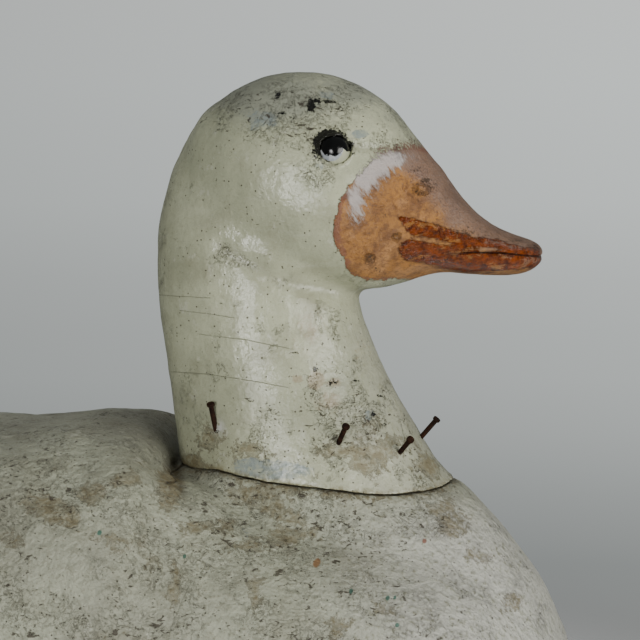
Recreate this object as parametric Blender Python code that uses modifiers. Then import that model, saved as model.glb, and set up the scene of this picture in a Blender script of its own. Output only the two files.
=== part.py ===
"""A hand-made goose decoy: hollow wooden body, nailed-on head, and two hinged wings worked by levers."""

import math

import bmesh
import bpy
import numpy as np
from mathutils import Matrix, Vector

MM = 0.001
GAP = 0.3  # clearance between pieces that touch, mm

# Body, mm. X runs from the tail to the breast, Z up from the floor.
BREAST_X = 320.0
NECK_X = 205.0  # the neck's own reference line
PARTING_Z = 80.0  # joint line between the two hollowed halves
BASE_THICK = 18.0
SEAT_Z = 181.5  # height of the neck seat on the neck line
SEAT_SLOPE = -0.047  # the seat falls slightly towards the breast
WALL = 21.0
HOLLOW_REAR, HOLLOW_FRONT = -420.0, 60.0  # ends of the hollow, measured from the neck line
SQUARENESS = 2.6  # body sections: 2 is an ellipse, more is squarer

# Wings and hinges, mm.
HINGE_Y = 117.0
HINGE_Z = 150.0
HINGE_XS = (20.0, -80.0)  # middles of the two hinges on each side
HINGE_LEN = 44.0
LEAF_WIDTH = 23.0
LEAF_THICK = 1.6
KNUCKLE_R = 3.5
PIN_R = 1.5
WING_HANG = math.radians(12.8)  # lean of the hanging wing from the vertical
LEAF_LEAN = math.radians(31.6)  # lean of the body's shoulder under a leaf
WING_THICK = 9.0
WING_CHORD = 104.0
HORN_X = -30.0
HORN_REACH = 45.0
HORN_RISE = math.radians(15.0)
HORN_THICK = 3.0
HORN_HALF = 3.5  # half the arm's depth
HORN_FOOT_IN = -1.1  # the lever's foot stands proud of the wing's inner face
SHANK_R = 1.5
HOLE_SPREAD = 14.0
LEAF_OUT = LEAF_THICK / 2 - KNUCKLE_R  # the body leaf's plate lies against the wood
WING_IN = LEAF_THICK / 2 + GAP  # the wing's inner face lies on its leaf
WING_OUT = WING_IN + WING_THICK

# Nails, eyes, dowel and base screws, mm.
NAIL_R = 1.15
NAIL_HEAD_R = 1.75
NAIL_PROUD = 11.0
NAIL_BURIED = 39.0
EYE_R = 7.0
EYE_AT = (11.0, 36.0, 327.0)  # forward of the neck line, out from the middle, height
DOWEL_R = 9.5
SCREW_SPOTS = [(130, 62), (130, -62), (-20, 80), (-20, -80), (-140, 62), (-140, -62)]


def clear_scene():
    for obj in list(bpy.data.objects):
        bpy.data.objects.remove(obj, do_unlink=True)


def new_collection(name):
    made = bpy.data.collections.new(name)
    bpy.context.scene.collection.children.link(made)
    return made


clear_scene()
PARTS = new_collection("goose_decoy")
CUTTERS = new_collection("cutters")
CUTTERS.hide_render = True


# Surface kinds: colour, roughness, metallic.
PAINT = ((0.62, 0.61, 0.54), 0.5, 0.0)
WOOD = ((0.42, 0.29, 0.18), 0.75, 0.0)
RUST = ((0.16, 0.08, 0.05), 0.8, 0.4)
STEEL = ((0.45, 0.44, 0.42), 0.5, 0.9)
BEAD = ((0.02, 0.02, 0.02), 0.15, 0.0)


def material(name, kind):
    """A node material of one surface kind, for one named piece."""
    colour, roughness, metallic = kind
    made = bpy.data.materials.new(name)
    made.use_nodes = True
    shader = made.node_tree.nodes["Principled BSDF"]
    shader.inputs["Base Color"].default_value = (*colour, 1.0)
    shader.inputs["Roughness"].default_value = roughness
    shader.inputs["Metallic"].default_value = metallic
    return made


def add_object(name, mesh, kind=None):
    """Links a mesh as a named piece, or as a cutter when it has no surface kind."""
    obj = bpy.data.objects.new(name, mesh)
    (PARTS if kind else CUTTERS).objects.link(obj)
    if kind:
        mesh.materials.clear()
        mesh.materials.append(material(name, kind))
    else:
        obj.hide_render = True
        obj.display_type = "WIRE"
    return obj


def mesh_of(points, faces):
    mesh = bpy.data.meshes.new("shape")
    mesh.from_pydata([Vector(p) * MM for p in points], [], faces)
    work = bmesh.new()
    work.from_mesh(mesh)
    bmesh.ops.remove_doubles(work, verts=work.verts, dist=1e-6)
    bmesh.ops.recalc_face_normals(work, faces=work.faces)
    work.to_mesh(mesh)
    work.free()
    return mesh


def loft(name, rings, kind=None):
    """Skins closed rings of equal point counts, with a flat cap at each end."""
    count = len(rings[0])
    points = [p for ring in rings for p in ring]
    faces = []
    for row in range(len(rings) - 1):
        for k in range(count):
            here = row * count
            after = (k + 1) % count
            faces.append((here + k, here + after, here + count + after, here + count + k))
    faces.append(tuple(range(count)))
    faces.append(tuple(range((len(rings) - 1) * count, len(rings) * count)))
    return add_object(name, mesh_of(points, faces), kind)


def primitive(name, make, kind=None):
    """A mesh made by one bmesh operator, sized in millimetres and facing out."""
    work = bmesh.new()
    make(work)
    bmesh.ops.scale(work, verts=work.verts, vec=(MM, MM, MM))
    bmesh.ops.recalc_face_normals(work, faces=work.faces)
    mesh = bpy.data.meshes.new(name)
    work.to_mesh(mesh)
    work.free()
    return add_object(name, mesh, kind)


def box(name, low, high, kind=None, turn=None):
    """A box between two corners, turned by a matrix when one is given."""
    low, high = Vector(low), Vector(high)
    place = Matrix.Translation((low + high) / 2) @ Matrix.Diagonal((*(high - low), 1.0))
    if turn is not None:
        place = turn @ place
    return primitive(name, lambda work: bmesh.ops.create_cube(work, size=1.0, matrix=place), kind)


def line_frame(start, end):
    """A matrix at a line's middle, with local Z along the line."""
    start, end = Vector(start), Vector(end)
    turn = (end - start).to_track_quat("Z", "Y").to_matrix().to_4x4()
    return Matrix.Translation((start + end) / 2) @ turn


def rod(name, start, end, radius, kind=None, sides=12):
    """A round bar between two points."""
    place = line_frame(start, end)
    size = dict(radius1=radius, radius2=radius, depth=(Vector(end) - Vector(start)).length)
    return primitive(
        name,
        lambda work: bmesh.ops.create_cone(work, cap_ends=True, segments=sides, matrix=place, **size),
        kind,
    )


def ball(name, centre, radius, kind=None):
    place = Matrix.Translation(Vector(centre))
    size = dict(u_segments=16, v_segments=10, radius=radius)
    return primitive(name, lambda work: bmesh.ops.create_uvsphere(work, matrix=place, **size), kind)


def turned(name, top, tip, profile, kind=None, sides=12):
    """A turned piece: (depth below its top, radius) pairs swept round the line from top to tip."""
    length = (Vector(tip) - Vector(top)).length
    outline = [(0.0, 0.0), *profile, (length, 0.0)]
    mesh = bpy.data.meshes.new(name)
    points = [(radius * MM, 0.0, (length / 2 - depth) * MM) for depth, radius in outline]
    mesh.from_pydata(points, [(k, k + 1) for k in range(len(points) - 1)], [])
    obj = add_object(name, mesh, kind)
    obj.matrix_world = Matrix.Scale(MM, 4) @ line_frame(tip, top) @ Matrix.Scale(1 / MM, 4)
    sweep = obj.modifiers.new("turn", "SCREW")
    sweep.axis = "Z"
    sweep.steps = sweep.render_steps = sides
    sweep.use_merge_vertices = True
    sweep.merge_threshold = 0.00001
    return obj


def plate(name, outline, middle, thick, turn, kind=None, bevel=0.0):
    """A flat outline cut from sheet or board: local X and Y in its plane, Z through it."""
    curve = bpy.data.curves.new(name, "CURVE")
    curve.dimensions = "2D"
    curve.fill_mode = "BOTH"
    curve.extrude = thick * MM / 2
    line = curve.splines.new("POLY")
    line.points.add(len(outline) - 1)
    for point, (x, y) in zip(line.points, outline):
        point.co = (x * MM, y * MM, 0.0, 1.0)
    line.use_cyclic_u = True
    drawn = bpy.data.objects.new(name, curve)
    CUTTERS.objects.link(drawn)
    bpy.context.view_layer.update()
    graph = bpy.context.evaluated_depsgraph_get()
    mesh = bpy.data.meshes.new_from_object(drawn.evaluated_get(graph))
    bpy.data.objects.remove(drawn, do_unlink=True)
    work = bmesh.new()
    work.from_mesh(mesh)
    bmesh.ops.remove_doubles(work, verts=work.verts, dist=1e-6)
    bmesh.ops.translate(work, verts=work.verts, vec=(0, 0, middle * MM))
    place = turn.copy()
    place.translation *= MM
    bmesh.ops.transform(work, matrix=place, verts=work.verts)
    bmesh.ops.recalc_face_normals(work, faces=work.faces)
    work.to_mesh(mesh)
    work.free()
    obj = add_object(name, mesh, kind)
    if bevel:
        edge = obj.modifiers.new("eased edges", "BEVEL")
        edge.width = bevel * MM
        edge.segments = 2
        edge.limit_method = "ANGLE"
        edge.angle_limit = math.radians(50)
    return obj


def combine(target, other, operation):
    """Applies an exact Boolean, with any modifier before it, and drops the other shape."""
    step = target.modifiers.new(operation.lower(), "BOOLEAN")
    step.object = other
    step.operation = operation
    step.solver = "EXACT"
    bpy.context.view_layer.update()
    graph = bpy.context.evaluated_depsgraph_get()
    mesh = bpy.data.meshes.new_from_object(target.evaluated_get(graph))
    target.modifiers.clear()
    kept = list(target.data.materials)
    target.data = mesh
    mesh.materials.clear()
    for skin in kept:
        mesh.materials.append(skin)
    bpy.data.objects.remove(other, do_unlink=True)


def cut(target, other):
    combine(target, other, "DIFFERENCE")


def join(target, other):
    combine(target, other, "UNION")


def keep(target, other):
    combine(target, other, "INTERSECT")


def round_section(x, top, bottom, half, widest, power, count=40, shoulder=0.0):
    """One upright body section: a squared ellipse whose widest height can sit off centre."""
    ring = []
    for k in range(count):
        turn = 2 * math.pi * k / count
        c, s = math.cos(turn), math.sin(turn)
        y = half * math.copysign(abs(c) ** (2 / power), c)
        reach = (top - widest) if s >= 0 else (widest - bottom)
        z = widest + reach * math.copysign(abs(s) ** (2 / power), s)
        if s > 0:
            z += shoulder * math.exp(-(((abs(y) - 56.0) / 24.0) ** 2))
        ring.append((x, y, z))
    return ring


# Body stations from tail to breast, measured from the neck line:
# (x, top, bottom, half width, widest height, shoulder swell).
BODY = [
    (-525, 126, 114, 14, 120, 0),
    (-518, 134, 106, 27, 120, 0),
    (-495, 146, 90, 47, 118, 0),
    (-460, 159, 62, 70, 112, 0),
    (-415, 175, 22, 92, 104, 0),
    (-365, 190, -6, 109, 98, 0),
    (-310, 201, -15, 120, 95, 0),
    (-250, 204, -15, 122, 95, 0),
    (-185, 204, -15, 122, 95, 0),
    (-135, 204, -15, 121, 95, 0),
    (-105, 204, -15, 120, 95, 0),
    (-90, 203.5, -15, 119, 95, 1),
    (-78, 202, -15, 118, 95, 3),
    (-69, 199, -15, 118, 95, 2),
    (-63, 182, -15, 118, 95, 11),
    (-50, 176, -15, 117, 95, 9),
    (-30, 170, -15, 116, 95, 5),
    (0, 166, -15, 114, 95, 1),
    (30, 162, -12, 110, 94, 0),
    (55, 155, -5, 102, 93, 0),
    (75, 146, 5, 90, 92, 0),
    (90, 134, 16, 74, 88, 0),
    (102, 122, 32, 58, 84, 0),
    (110, 110, 44, 42, 80, 0),
    (115, 96, 58, 20, 76, 0),
]

# Neck stub on the body: (height, back, front, half width).
STUB = [
    (172, -62, 69, 51),
    (160, -61, 81, 59),
    (148, -58, 90.5, 68),
    (134, -50, 101, 78),
    (118, -40, 108, 82),
    (100, -30, 111, 80),
]

# Neck rings: (back x, back z, front x, front z, half width), seat first.
NECK = [
    (-63.5, 184.5, 61, 178.7, 46),
    (-65, 194, 50.5, 191, 44),
    (-66.5, 206, 41.5, 206, 42),
    (-69.5, 228, 28.5, 229, 39.5),
    (-72.5, 250, 20, 250, 38),
    (-74.3, 272, 15.5, 266, 37.5),
    (-73.8, 293, 18, 284, 37),
    (-68, 316, 20, 300, 32),
    (-60, 332, 15, 316, 22),
]

# Head and bill sections: (x, top, bottom, half width, widest height).
HEAD = [
    (-60, 331, 305, 12, 318),
    (-52, 344, 290, 26, 316),
    (-38, 353.5, 279, 36, 314),
    (-24, 360, 272, 41, 312),
    (-10, 361.5, 267, 43.5, 311),
    (4, 360.5, 264, 43.5, 309),
    (15, 356.5, 263.5, 41.5, 306),
    (26, 350.5, 264.5, 38, 303),
    (35, 343.5, 266.6, 34.5, 299),
    (45, 330, 270, 31, 294),
    (54, 319, 272.3, 28, 290),
    (62, 307.4, 272.3, 25.8, 286),
    (69, 299.8, 271.3, 24.2, 283),
    (77, 293.4, 270.9, 23, 281),
    (86, 289.4, 271.4, 21, 280),
    (93, 287, 273, 17.5, 280),
    (97.5, 285, 276, 12, 280),
    (99.5, 282.5, 278.5, 6, 280.5),
]

# Nails: where each enters the neck (forward of the neck line, sideways, height),
# and the way its head points.
NAILS = [
    ((-41.6, -35.3, 206.7), (-0.11, -0.37, 0.92)),
    ((13.7, -38.2, 200.9), (0.36, -0.57, 0.74)),
    ((38.9, -23.9, 194.7), (0.49, -0.60, 0.63)),
    ((46.1, 2.0, 197.9), (0.64, -0.11, 0.76)),
    ((28.0, 33.0, 197.0), (0.45, 0.50, 0.74)),
    ((-40.0, 36.2, 201.0), (-0.30, 0.50, 0.81)),
]


def seat_height(x):
    """Height of the neck seat's plane at a distance from the neck line."""
    return SEAT_Z + SEAT_SLOPE * x


def body_rings():
    rings = []
    for x, top, bottom, half, widest, swell in BODY:
        rings.append(round_section(NECK_X + x, top, bottom, half, widest, SQUARENESS, 44, swell))
    return rings


def level_ring(height, back, front, half, slope=0.0, count=36):
    """A near-level oval ring for the neck stub."""
    middle, reach = (back + front) / 2, (front - back) / 2
    ring = []
    for k in range(count):
        turn = 2 * math.pi * k / count
        x = middle + reach * math.cos(turn)
        ring.append((NECK_X + x, half * math.sin(turn), height + slope * x))
    return ring


def cavity():
    """The hollow inside the body, open through the lower half onto the base board."""
    rings = []
    for x, top, bottom, half, widest, _ in BODY:
        if not HOLLOW_REAR <= x <= HOLLOW_FRONT:
            continue
        top_in = min(top - WALL, 150.0 if x > -110 else 190.0)
        half_in = half - WALL
        if x > -60:
            top_in = min(top_in, 132.0)
        rings.append(round_section(NECK_X + x, top_in, bottom + 6, half_in, widest, SQUARENESS, 32))
    return loft("hollow", rings)


def body_slice(name, low, high, skin):
    """The part of the solid body between two heights."""
    piece = loft(name, body_rings(), skin)
    rings = [level_ring(seat_height(0) - GAP, -63.5, 61, 46, SEAT_SLOPE)]
    rings += [level_ring(*row) for row in STUB]
    join(piece, loft("stub", rings))
    keep(piece, box("slab", (-400, -200, low), (400, 200, high)))
    return piece


def head_piece():
    rings = []
    for back_x, back_z, front_x, front_z, half in NECK:
        middle = Vector(((back_x + front_x) / 2, 0, (back_z + front_z) / 2))
        reach = Vector(((front_x - back_x) / 2, 0, (front_z - back_z) / 2))
        ring = []
        for k in range(36):
            turn = 2 * math.pi * k / 36
            p = middle + reach * math.cos(turn)
            ring.append((NECK_X + p.x, half * math.sin(turn), p.z))
        rings.append(ring)
    piece = loft("head_and_neck", rings, PAINT)
    rings = [round_section(NECK_X + x, top, low, half, mid, 2.15, 36) for x, top, low, half, mid in HEAD]
    join(piece, loft("skull", rings))
    return piece


head = head_piece()
upper = body_slice("upper_body", PARTING_Z, 400, PAINT)
lower = body_slice("lower_body", BASE_THICK + GAP, PARTING_Z - GAP, PAINT)
base = body_slice("base_board", 0, BASE_THICK, WOOD)
cut(upper, cavity())
cut(lower, cavity())

# Eyes: glass beads bedded in sockets.
for side, name in ((-1, "eye_right"), (1, "eye_left")):
    centre = (NECK_X + EYE_AT[0], side * EYE_AT[1], EYE_AT[2])
    cut(head, ball("socket", centre, EYE_R + GAP))
    ball(name, centre, EYE_R, BEAD)

# Neck dowel, hidden in both pieces.
foot, crown = (NECK_X - 4, 0, 142), (NECK_X - 14, 0, 232)
for target, low, high in ((head, foot, (NECK_X - 14.1, 0, 233)), (upper, (NECK_X - 3.9, 0, 141), crown)):
    cut(target, rod("bore", low, high, DOWEL_R + GAP, sides=24))
rod("neck_dowel", foot, crown, DOWEL_R, WOOD, sides=24)

# Nails driven down and inwards through the neck's foot into the body; each stands proud.
for number, ((x, y, z), lean) in enumerate(NAILS, 1):
    entry = Vector((NECK_X + x, y, z))
    axis = Vector(lean).normalized()
    top = entry + axis * NAIL_PROUD
    tip = entry - axis * NAIL_BURIED
    length = NAIL_PROUD + NAIL_BURIED
    for target in (head, upper):
        cut(target, rod("nail_bore", top + axis * 3, tip - axis * 0.6, NAIL_R + GAP, sides=10))
    profile = [(0, NAIL_HEAD_R), (1.1, NAIL_HEAD_R), (1.6, NAIL_R), (length - 3, NAIL_R)]
    turned(f"neck_nail_{number}", top, tip, profile, RUST, sides=10)


def side_frame(side, x, lean_up):
    """Axes at a hinge line: local X along the axis, local Y outward from the leaf, local Z up the leaf."""
    along = Vector((1, 0, 0))
    up = Vector((0, -side * math.sin(lean_up), math.cos(lean_up)))
    out = Vector((0, side * math.cos(lean_up), math.sin(lean_up)))
    turn = Matrix((along, out, up)).transposed().to_4x4()
    turn.translation = Vector((x, side * HINGE_Y, HINGE_Z))
    return turn


def origin_to(obj, point):
    """Moves the object's origin, leaving its shape where it is."""
    shift = Vector(point) * MM
    obj.data.transform(Matrix.Translation(-shift))
    obj.location = shift


def leaf(name, turn, knuckles, plate_out):
    """A hinge leaf rolled from one strip: a plate and its own knuckles round the pin bore."""
    half = HINGE_LEN / 2
    third = HINGE_LEN / 3
    inner, outer = plate_out - LEAF_THICK / 2, plate_out + LEAF_THICK / 2
    first = math.acos(outer / KNUCKLE_R)
    last = math.acos(max(-1.0, inner / KNUCKLE_R)) - 2 * math.pi
    steps = 12
    turns = [first + (last - first) * k / steps for k in range(steps + 1)]
    profile = [(outer, LEAF_WIDTH)]
    profile += [(KNUCKLE_R * math.cos(t), KNUCKLE_R * math.sin(t)) for t in turns]
    profile += [(inner, LEAF_WIDTH)]
    strip = plate(name, profile, 0, HINGE_LEN, turn @ ACROSS, STEEL)
    for k in range(3):
        if k in knuckles:
            continue
        low = -half - 3 if k == 0 else -half + k * third - GAP / 2
        high = half + 3 if k == 2 else -half + (k + 1) * third + GAP / 2
        notch = (low, -8, -8), (high, 8, KNUCKLE_R + 0.7)
        cut(strip, box("notch", *notch, turn=turn))
    ends = [turn @ Vector((s * (half + 2), 0, 0)) for s in (-1, 1)]
    cut(strip, rod("pin_bore", *ends, PIN_R + GAP))
    return strip


# Turns of a plate's own axes: across a hinge line, and flat on a hanging wing.
ACROSS = Matrix(((0, 0, 1, 0), (1, 0, 0, 0), (0, 1, 0, 0), (0, 0, 0, 1)))
FLAT = Matrix(((1, 0, 0, 0), (0, 0, 1, 0), (0, 1, 0, 0), (0, 0, 0, 1)))


def wing_outline():
    """Hanging wing in its own plane: x forward, z up; the top edge lies under the hinges."""
    top = [(48, -6), (-140, -6), (-190, -9), (-235, -18), (-272, -38)]
    rear = [(-280, -50), (-262, -58), (-240, -66), (-205, -78), (-160, -92), (-110, -101)]
    front = [(-50, -105), (0, -103), (32, -94), (50, -78), (58, -55), (58, -28), (55, -14)]
    return top + rear + front


def wing(name, turn):
    return plate(name, wing_outline(), 1.1 + WING_THICK / 2, WING_THICK, turn @ FLAT, PAINT, bevel=2.0)


def fastener(name, turn, spot, reach, head_radius, head_tall, pieces):
    """A round-headed screw or bolt whose head sits on a face, with its hole through other pieces.

    The spot is where the head meets the face, and local Y points out of it.
    """
    spot = Vector(spot)
    top = turn @ (spot + Vector((0, head_tall, 0)))
    tip = turn @ (spot - Vector((0, reach, 0)))
    past = turn @ (spot - Vector((0, reach + 0.6, 0)))
    for piece in pieces:
        cut(piece, rod("hole", top, past, SHANK_R + GAP, sides=10))
    profile = [(0, head_radius * 0.6), (head_tall * 0.35, head_radius * 0.9), (head_tall, head_radius)]
    profile += [(head_tall, SHANK_R), (head_tall + reach, SHANK_R)]
    turned(name, top, tip, profile, STEEL, sides=10)


for side, tag in ((-1, "right"), (1, "left")):
    pivot = (0, side * HINGE_Y, HINGE_Z)
    wing_turn = side_frame(side, 0, WING_HANG)
    board = wing(f"wing_{tag}", wing_turn)
    for number, x in enumerate(HINGE_XS, 1):
        name = f"hinge_{tag}_{number}"
        half = HINGE_LEN / 2
        body_turn = side_frame(side, x, LEAF_LEAN)
        leaf_turn = side_frame(side, x, WING_HANG) @ Matrix.Rotation(math.pi, 4, "Y")
        body_leaf = leaf(f"{name}_body_leaf", body_turn, (0, 2), LEAF_OUT)
        wing_leaf = leaf(f"{name}_wing_leaf", leaf_turn, (1,), 0.0)
        # A flat let into the body's shoulder under the leaf and the knuckles.
        low = (-half - 0.8, -KNUCKLE_R - GAP, -7)
        cut(upper, box("flat", low, (half + 0.8, 30, LEAF_WIDTH + 0.8), turn=body_turn))
        ends = [body_turn @ Vector((s * half, 0, 0)) for s in (-1, 1)]
        rod(f"{name}_pin", ends[0], ends[1], PIN_R, STEEL)
        for k, place in enumerate((-HOLE_SPREAD, HOLE_SPREAD), 1):
            spot = (place, LEAF_OUT + LEAF_THICK / 2 + GAP, 14)
            fastener(f"{name}_body_screw_{k}", body_turn, spot, 13, 3.0, 1.8, (body_leaf, upper))
            spot = (x + place, WING_OUT + GAP, -14)
            reach = WING_OUT + GAP + LEAF_THICK / 2
            fastener(f"{name}_wing_bolt_{k}", wing_turn, spot, reach, 3.2, 1.6, (wing_leaf, board))
        origin_to(wing_leaf, pivot)
    # Lever: a foot on the wing's inner face and an arm through a kerf in the body's side.
    foot_low, foot_high = (HORN_X - 9, HORN_FOOT_IN, -44), (HORN_X + 9, WING_IN - GAP, -10)
    horn = box(f"horn_{tag}", foot_low, foot_high, STEEL, turn=wing_turn)
    rise = HORN_RISE + WING_HANG
    reach = HORN_REACH + 4
    arm = np.array((-math.cos(rise), math.sin(rise)))
    edge = np.array((math.sin(rise), math.cos(rise))) * HORN_HALF
    profile = [(0.6, -27), (0.6, 3.3), arm * reach + edge, arm * (reach + 2), arm * reach - edge]
    profile += [(-1.0, -3.4), (-1.0, -27)]
    join(horn, plate("arm", profile, HORN_X, HORN_THICK, wing_turn @ ACROSS))
    tip_at = wing_turn @ Vector((HORN_X, *(arm * HORN_REACH)))
    eye_ends = [tip_at + Vector((s * 5, 0, 0)) for s in (-1, 1)]
    cut(horn, rod("line_eye", *eye_ends, 1.6))
    low_y, high_y = sorted((side * 66, side * 140))
    cut(upper, box("kerf", (HORN_X - 3.2, low_y, 100), (HORN_X + 3.2, high_y, 172)))
    for k, (shift, drop) in enumerate(((5, -18), (-5, -36)), 1):
        spot = (HORN_X + shift, WING_OUT + GAP, drop)
        reach = WING_OUT + GAP - HORN_FOOT_IN
        fastener(f"horn_{tag}_bolt_{k}", wing_turn, spot, reach, 3.2, 1.6, (horn, board))
    origin_to(horn, pivot)
    origin_to(board, pivot)

# Base board: counterbored screws from below, and a way out for the pull line.
cut(base, box("line_groove", (-400, -6.1, -5), (HORN_X + 1, 6.1, 7)))
cut(base, rod("line_hole", (HORN_X, 0, -3), (HORN_X, 0, 31), 7 + GAP, sides=18))
for number, (x, y) in enumerate(SCREW_SPOTS, 1):
    cut(base, rod("counterbore", (x, y, -2), (x, y, 6), 4.6))
    cut(base, rod("hole", (x, y, 3), (x, y, 30), 2 + GAP))
    cut(lower, rod("hole", (x, y, 3), (x, y, 38.6), 2 + GAP))
    profile = [(0, 4.2), (3, 4.2), (3, 2), (33, 2)]
    turned(f"base_screw_{number}", (x, y, 2.7), (x, y, 38), profile, RUST)
profile = [(0, 10.5), (2, 10.5), (2, 7), (12.3, 7)]
bush = turned("line_bush", (HORN_X, 0, BASE_THICK + 2.3), (HORN_X, 0, 8), profile, STEEL, sides=16)
cut(bush, rod("bush_bore", (HORN_X, 0, 0), (HORN_X, 0, 30), 4.5, sides=16))

for obj in PARTS.objects:
    obj.data.shade_smooth()
    obj.data.set_sharp_from_angle(angle=math.radians(35))
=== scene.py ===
"""The looks of a hand-made goose decoy: carved and painted wood, worn and stained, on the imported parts."""

import math

import bmesh
import bpy
import numpy as np
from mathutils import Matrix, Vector, noise


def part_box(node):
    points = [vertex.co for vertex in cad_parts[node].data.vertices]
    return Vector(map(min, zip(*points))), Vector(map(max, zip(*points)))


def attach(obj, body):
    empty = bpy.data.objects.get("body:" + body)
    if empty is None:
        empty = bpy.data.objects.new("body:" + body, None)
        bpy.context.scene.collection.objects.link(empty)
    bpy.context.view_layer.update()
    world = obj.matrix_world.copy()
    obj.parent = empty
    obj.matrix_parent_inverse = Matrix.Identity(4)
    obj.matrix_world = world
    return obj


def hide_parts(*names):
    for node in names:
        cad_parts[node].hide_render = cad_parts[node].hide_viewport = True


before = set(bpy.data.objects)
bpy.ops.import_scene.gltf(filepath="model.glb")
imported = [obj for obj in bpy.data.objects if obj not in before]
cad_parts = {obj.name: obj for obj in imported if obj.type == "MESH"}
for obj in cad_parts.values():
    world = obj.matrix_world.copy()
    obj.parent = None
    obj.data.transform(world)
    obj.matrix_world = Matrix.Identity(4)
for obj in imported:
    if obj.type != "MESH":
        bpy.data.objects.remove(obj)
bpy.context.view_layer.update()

MM = 0.001
NECK_X = 0.205  # the neck's reference line in the row frame
SEAT_Z = 0.1815
SEAT_SLOPE = -0.047

# The viewpoint: a close look at the bird's right side, a little from the front and above.
AIM = Vector((NECK_X, 0.0, 0.250))
VIEW_AZ = math.radians(8.0)
VIEW_EL = math.radians(6.0)
VIEW_DISTANCE = 1.0
FRAME_WIDTH = 0.288
FLAT = math.cos(VIEW_EL)
BACK = Vector((math.sin(VIEW_AZ) * FLAT, -math.cos(VIEW_AZ) * FLAT, math.sin(VIEW_EL)))
EYE_POINT = AIM + BACK * VIEW_DISTANCE


# ---------------- mesh tools


def read_points(mesh):
    co = np.empty(len(mesh.vertices) * 3, np.float32)
    mesh.vertices.foreach_get("co", co)
    return co.reshape(-1, 3).astype(float)


def write_points(mesh, co):
    mesh.vertices.foreach_set("co", co.astype(np.float32).ravel())
    mesh.update()


def read_normals(mesh):
    found = np.empty(len(mesh.vertices) * 3, np.float32)
    mesh.vertices.foreach_get("normal", found)
    return found.reshape(-1, 3).astype(float)


def read_edges(mesh):
    ends = np.empty(len(mesh.edges) * 2, np.int32)
    mesh.edges.foreach_get("vertices", ends)
    return ends.reshape(-1, 2)


def fine_copy(node, name, grain):
    """A finer mesh of a CAD node's solid, made of even faces."""
    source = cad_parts[node]
    obj = bpy.data.objects.new(name, source.data.copy())
    bpy.context.scene.collection.objects.link(obj)
    weld = obj.modifiers.new("weld", "WELD")
    weld.merge_threshold = 0.00001
    even = obj.modifiers.new("even", "REMESH")
    even.mode = "VOXEL"
    even.voxel_size = grain
    bpy.context.view_layer.update()
    graph = bpy.context.evaluated_depsgraph_get()
    mesh = bpy.data.meshes.new_from_object(obj.evaluated_get(graph))
    obj.modifiers.clear()
    obj.data = mesh
    mesh.materials.clear()
    mesh.name = name
    mesh.shade_smooth()
    return obj


PULL = 0.6  # how far a point moves towards its neighbours' middle in one pass


def relax(co, edges, times, share=None):
    """Evens a surface out by moving each point towards its neighbours' middle."""
    count = len(co)
    a, b = edges[:, 0], edges[:, 1]
    valence = np.bincount(a, minlength=count) + np.bincount(b, minlength=count)
    valence = np.maximum(valence, 1)[:, None]
    weight = PULL if share is None else PULL * share[:, None]
    for _ in range(times):
        total = np.zeros_like(co)
        for axis in range(3):
            total[:, axis] = np.bincount(a, co[b, axis], count) + np.bincount(b, co[a, axis], count)
        co = co + (total / valence - co) * weight
    return co


def smooth_step(low, high, value):
    t = np.clip((value - low) / (high - low), 0.0, 1.0)
    return t * t * (3 - 2 * t)


def rough(co, size, seed, octaves):
    """Fractal noise from about -1 to 1 at each point."""
    found = np.empty(len(co))
    shift = Vector((seed * 13.7, seed * 7.1, seed * 3.3))
    for k, p in enumerate(co):
        found[k] = noise.fractal(Vector(p) / size + shift, 0.6, 2.0, octaves)
    return found


def side_view(co):
    """Places on the upright plane through the neck, mm, as met from the viewpoint: X forward, Z up.

    Both flanks are read as the near one, so marks lie alike on the two sides.
    """
    near = co.copy()
    near[:, 1] = -np.abs(near[:, 1])
    eye = np.array(EYE_POINT)
    back = np.array(BACK)
    right = np.array((math.cos(VIEW_AZ), math.sin(VIEW_AZ), 0.0))
    up = np.cross(back, right)
    ray = near - eye
    depth = -(ray @ back)
    scale = VIEW_DISTANCE / depth / MM
    return np.stack([(ray @ right) * scale, (ray @ up) * scale + AIM.z / MM], axis=1)


def line_distance(at, line):
    """Distance from each place to a broken line, and the share along it of the nearest point."""
    line = np.array(line, float)
    best = np.full(len(at), 1e9)
    share = np.zeros(len(at))
    lengths = np.linalg.norm(np.diff(line, axis=0), axis=1)
    run, total = 0.0, lengths.sum()
    for p, q, length in zip(line[:-1], line[1:], lengths):
        d = q - p
        t = np.clip(((at - p) @ d) / max(d @ d, 1e-12), 0, 1)
        gap = np.linalg.norm(at - p - t[:, None] * d, axis=1)
        closer = gap < best
        best = np.where(closer, gap, best)
        share = np.where(closer, (run + t * length) / total, share)
        run += length
    return best, share


def outline_depth(at, outline):
    """Distance inside a closed outline, mm; negative outside."""
    ring = np.array([*outline, outline[0]], float)
    gap, _ = line_distance(at, ring)
    inside = np.zeros(len(at), bool)
    for p, q in zip(ring[:-1], ring[1:]):
        spans = (p[1] > at[:, 1]) != (q[1] > at[:, 1])
        rise = q[1] - p[1] if q[1] != p[1] else 1e-9
        cross = (q[0] - p[0]) * (at[:, 1] - p[1]) / rise + p[0]
        inside ^= spans & (at[:, 0] < cross)
    return np.where(inside, gap, -gap)


def mark(mesh, name, values):
    """Writes a share or a distance at each point, for the materials to read."""
    layer = mesh.attributes.new(name, "FLOAT", "POINT")
    layer.data.foreach_set("value", np.asarray(values, np.float32))


# ---------------- material tools


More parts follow.
